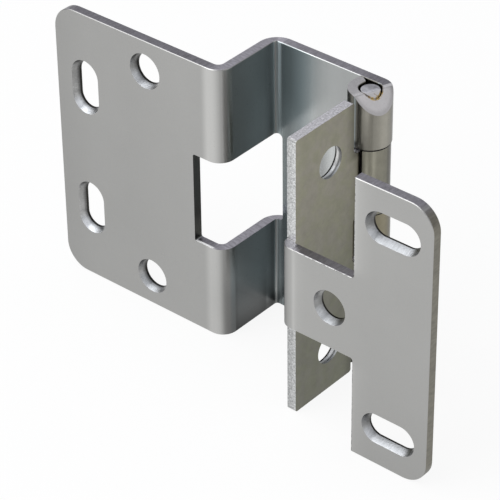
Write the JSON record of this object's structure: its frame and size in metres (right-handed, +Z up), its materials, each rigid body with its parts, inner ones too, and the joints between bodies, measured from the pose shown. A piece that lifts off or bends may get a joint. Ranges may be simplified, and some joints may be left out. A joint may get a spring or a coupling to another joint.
{
  "type": "cabinet hinge",
  "caption": "Wrap-round sheet steel cabinet hinge with rolled knuckles on a plain pin, a stepped frame leaf with a window, and a door leaf that folds round the door edge to a slotted tee plate.",
  "frame": {"origin": "on the swing axis, level with the lower edges of both leaves", "axes": "+Z up along the pin, +X along the plates towards the tee plate of the door leaf, +Y from the screw-head faces of the leaves towards the case side panel; the hinge stands half open as in the picture"},
  "size_m": [0.1154, 0.0339, 0.07],
  "materials": {
    "frame_steel": "satin",
    "door_steel": "satin",
    "pin_steel": "satin"
  },
  "bodies": {
    "frame": {"frame_leaf": "frame_steel", "hinge_pin": "pin_steel"},
    "door": {"door_leaf": "door_steel"}
  },
  "joints": [
    {"name": "door_swing", "type": "hinge", "parent": "frame", "child": "door", "pos_m": [0, 0, 0], "axis": [0, 0, 1], "range_deg": [-90, 180]}
  ]
}
